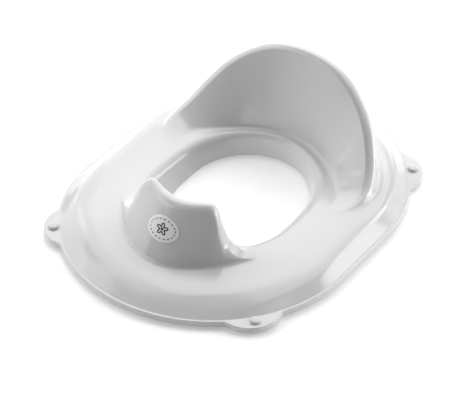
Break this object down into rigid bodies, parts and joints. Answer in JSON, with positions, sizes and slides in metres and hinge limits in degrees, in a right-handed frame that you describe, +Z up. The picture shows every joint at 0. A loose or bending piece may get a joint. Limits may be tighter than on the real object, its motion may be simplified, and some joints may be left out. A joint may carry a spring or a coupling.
{
  "type": "toilet seat reducer",
  "caption": "Child's toilet seat reducer: oval white moulded seat with funnel opening, splash guard, wrap-round backrest, corner tabs with soft feet and an oval badge.",
  "frame": {"origin": "middle of the object in plan, on the surface that the four feet stand on", "axes": "+Z up, +Y to the back (backrest), -Y to the front (splash guard), +X to the right as seen from the front; symmetric about the YZ plane"},
  "size_m": [0.295, 0.368, 0.1099],
  "materials": {
    "white_plastic": "glossy white injection-moulded polypropylene",
    "soft_foot": "satin white soft thermoplastic rubber",
    "badge_face": "satin off-white label with a plain navy pattern"
  },
  "bodies": {
    "root": {"seat_shell": "white_plastic", "foot_front_left": "soft_foot", "foot_front_right": "soft_foot", "foot_rear_left": "soft_foot", "foot_rear_right": "soft_foot", "badge_disc": "badge_face"}
  },
  "joints": []
}
